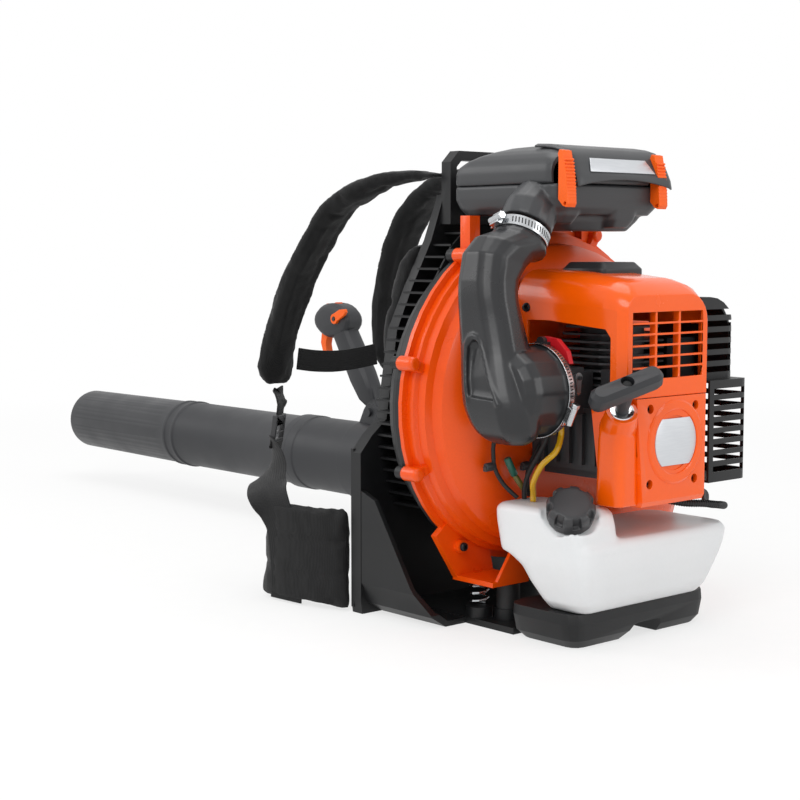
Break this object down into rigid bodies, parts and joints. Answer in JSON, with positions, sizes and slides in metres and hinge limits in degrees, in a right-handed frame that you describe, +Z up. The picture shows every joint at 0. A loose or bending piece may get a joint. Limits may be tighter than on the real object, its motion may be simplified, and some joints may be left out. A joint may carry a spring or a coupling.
{
  "type": "backpack leaf blower",
  "caption": "Petrol backpack blower with volute fan, rope start engine, top air filter, fuel tank, jointed tube with pistol grip and a padded harness.",
  "frame": {"origin": "on the ground straight below the crank and fan axis, in the split plane of the fan housing", "axes": "+Z up, +Y the way the wearer faces and along the blower tube to its mouth, +X the wearer's right where the tube is; the engine and starter are on the -Y side"},
  "size_m": [0.4363, 1.4289, 0.491],
  "materials": {
    "black_plastic": "satin",
    "grey_plastic": "satin",
    "orange_plastic": "gloss",
    "red_plastic": "gloss",
    "tank_plastic": "translucent satin",
    "black_rubber": "matte",
    "hose_rubber": "satin",
    "black_nylon": "woven",
    "filter_paper": "matte",
    "steel": "satin",
    "black_steel": "satin",
    "cast_aluminium": "cast"
  },
  "bodies": {
    "root": {"back_frame": "black_plastic", "intake_cage": "black_plastic", "fan_housing_inner": "black_plastic", "fan_housing_outer": "orange_plastic", "vibration_mounts": "black_rubber", "mount_springs": "steel", "base_shoe": "black_plastic", "fuel_tank": "tank_plastic", "crankcase": "cast_aluminium", "cylinder": "cast_aluminium", "main_bearings": "steel", "spark_plug": "steel", "spark_plug_boot": "black_rubber", "muffler": "steel", "muffler_guard": "black_plastic", "engine_cover": "orange_plastic", "starter_cover": "orange_plastic", "plug_cover": "black_plastic", "ignition_coil": "black_plastic", "carburettor": "cast_aluminium", "carburettor_adapter": "black_plastic", "intake_duct": "grey_plastic", "duct_clamps": "steel", "filter_tray": "grey_plastic", "filter_element": "filter_paper", "casing_screws": "black_steel", "fuel_lines": "hose_rubber", "conduit_rear": "black_plastic", "outlet_pipe": "grey_plastic", "back_pad": "black_nylon", "hip_belt": "black_nylon", "shoulder_pad_left": "black_nylon", "shoulder_pad_right": "black_nylon", "chest_strap": "black_nylon", "strap_webbing": "black_nylon", "strap_buckles": "black_plastic", "starter_rope": "black_nylon", "bellows_rear": "black_rubber"},
    "rotor": {"impeller": "grey_plastic", "crankshaft": "steel", "flywheel": "cast_aluminium"},
    "pulley": {"starter_pulley": "grey_plastic"},
    "grip": {"starter_grip": "grey_plastic"},
    "piston": {"piston": "cast_aluminium"},
    "cap_plug": {"cap_plug": "black_plastic"},
    "cap_shell": {"cap_shell": "black_plastic"},
    "filter_cover": {"filter_cover": "grey_plastic"},
    "latch_left": {"latch_left": "orange_plastic"},
    "latch_right": {"latch_right": "orange_plastic"},
    "choke_lever": {"choke_lever": "red_plastic"},
    "throttle_arm": {"throttle_arm": "steel"},
    "ring": {"bellows_ring": "grey_plastic", "bellows_front": "black_rubber", "conduit_front": "black_plastic"},
    "tube": {"control_tube": "grey_plastic", "blower_tubes": "grey_plastic"},
    "handle": {"control_handle": "grey_plastic"},
    "trigger": {"throttle_trigger": "orange_plastic"},
    "cruise_lever": {"cruise_lever": "orange_plastic"},
    "stop_switch": {"stop_switch": "orange_plastic"}
  },
  "joints": [
    {"name": "crank_turn", "type": "hinge", "parent": "root", "child": "rotor", "pos_m": [0, 0, 0.21], "axis": [0, 1, 0], "continuous": true},
    {"name": "piston_travel", "type": "slide", "parent": "root", "child": "piston", "axis": [0, 0, 1], "range_m": [-0.03, 0]},
    {"name": "starter_pull", "type": "slide", "parent": "root", "child": "grip", "axis": [-0.4196, -0.5195, 0.7443], "range_m": [0, 0.8], "stiffness_N_per_m": 10, "springref_m": -0.6, "deforming": ["starter_rope"]},
    {"name": "starter_pulley_turn", "type": "hinge", "parent": "root", "child": "pulley", "pos_m": [0, 0, 0.21], "axis": [0, 1, 0], "range_deg": [-1600, 0]},
    {"name": "cap_lift", "type": "slide", "parent": "root", "child": "cap_plug", "axis": [-0.4403, -0.5003, 0.7455], "range_m": [0, 0.0102]},
    {"name": "cap_turn", "type": "hinge", "parent": "cap_plug", "child": "cap_shell", "pos_m": [-0.097, -0.16, 0.131], "axis": [-0.4403, -0.5003, 0.7455], "range_deg": [0, 720]},
    {"name": "filter_cover_lift", "type": "slide", "parent": "root", "child": "filter_cover", "axis": [0, 0, 1], "range_m": [0, 0.08]},
    {"name": "latch_left_turn", "type": "hinge", "parent": "root", "child": "latch_left", "pos_m": [-0.069, -0.129, 0.43], "axis": [1, 0, 0], "range_deg": [0, 75]},
    {"name": "latch_right_turn", "type": "hinge", "parent": "root", "child": "latch_right", "pos_m": [0.068, -0.129, 0.43], "axis": [1, 0, 0], "range_deg": [0, 75]},
    {"name": "choke_turn", "type": "hinge", "parent": "root", "child": "choke_lever", "pos_m": [-0.094, -0.124, 0.297], "axis": [1, 0, 0], "range_deg": [-50, 0]},
    {"name": "throttle_arm_turn", "type": "hinge", "parent": "root", "child": "throttle_arm", "pos_m": [-0.076, -0.147, 0.262], "axis": [0, 1, 0], "range_deg": [-72.5, 0]},
    {"name": "tube_yaw", "type": "hinge", "parent": "root", "child": "ring", "pos_m": [0.178, 0.172, 0.098], "axis": [0, 0, 1], "range_deg": [-30, 8], "deforming": ["bellows_rear", "conduit_rear"]},
    {"name": "tube_pitch", "type": "hinge", "parent": "ring", "child": "tube", "pos_m": [0.178, 0.26, 0.098], "axis": [1, 0, 0], "range_deg": [-25, 35], "deforming": ["bellows_front", "conduit_front"]},
    {"name": "handle_tilt", "type": "hinge", "parent": "tube", "child": "handle", "pos_m": [0.178, 0.448, 0.166], "axis": [1, 0, 0], "range_deg": [-15, 25]},
    {"name": "throttle_squeeze", "type": "hinge", "parent": "handle", "child": "trigger", "pos_m": [0.178, 0.547, 0.275], "axis": [1, 0, 0], "range_deg": [-18, 0], "stiffness_Nm_per_rad": 0.3, "springref_deg": 20.05},
    {"name": "cruise_set", "type": "hinge", "parent": "handle", "child": "cruise_lever", "pos_m": [0.178, 0.515, 0.29], "axis": [1, 0, 0], "range_deg": [-40, 10]},
    {"name": "stop_press", "type": "hinge", "parent": "handle", "child": "stop_switch", "pos_m": [0.178, 0.54, 0.306], "axis": [1, 0, 0], "range_deg": [-10, 0], "stiffness_Nm_per_rad": 0.05, "springref_deg": 11.46}
  ],
  "couplings": [
    {"joint": "starter_pulley_turn", "follows": "starter_pull", "rad_per_m": -34.48},
    {"joint": "cap_lift", "follows": "cap_turn", "m_per_rad": 0.000796},
    {"joint": "throttle_arm_turn", "follows": "throttle_squeeze", "ratio": 4}
  ]
}
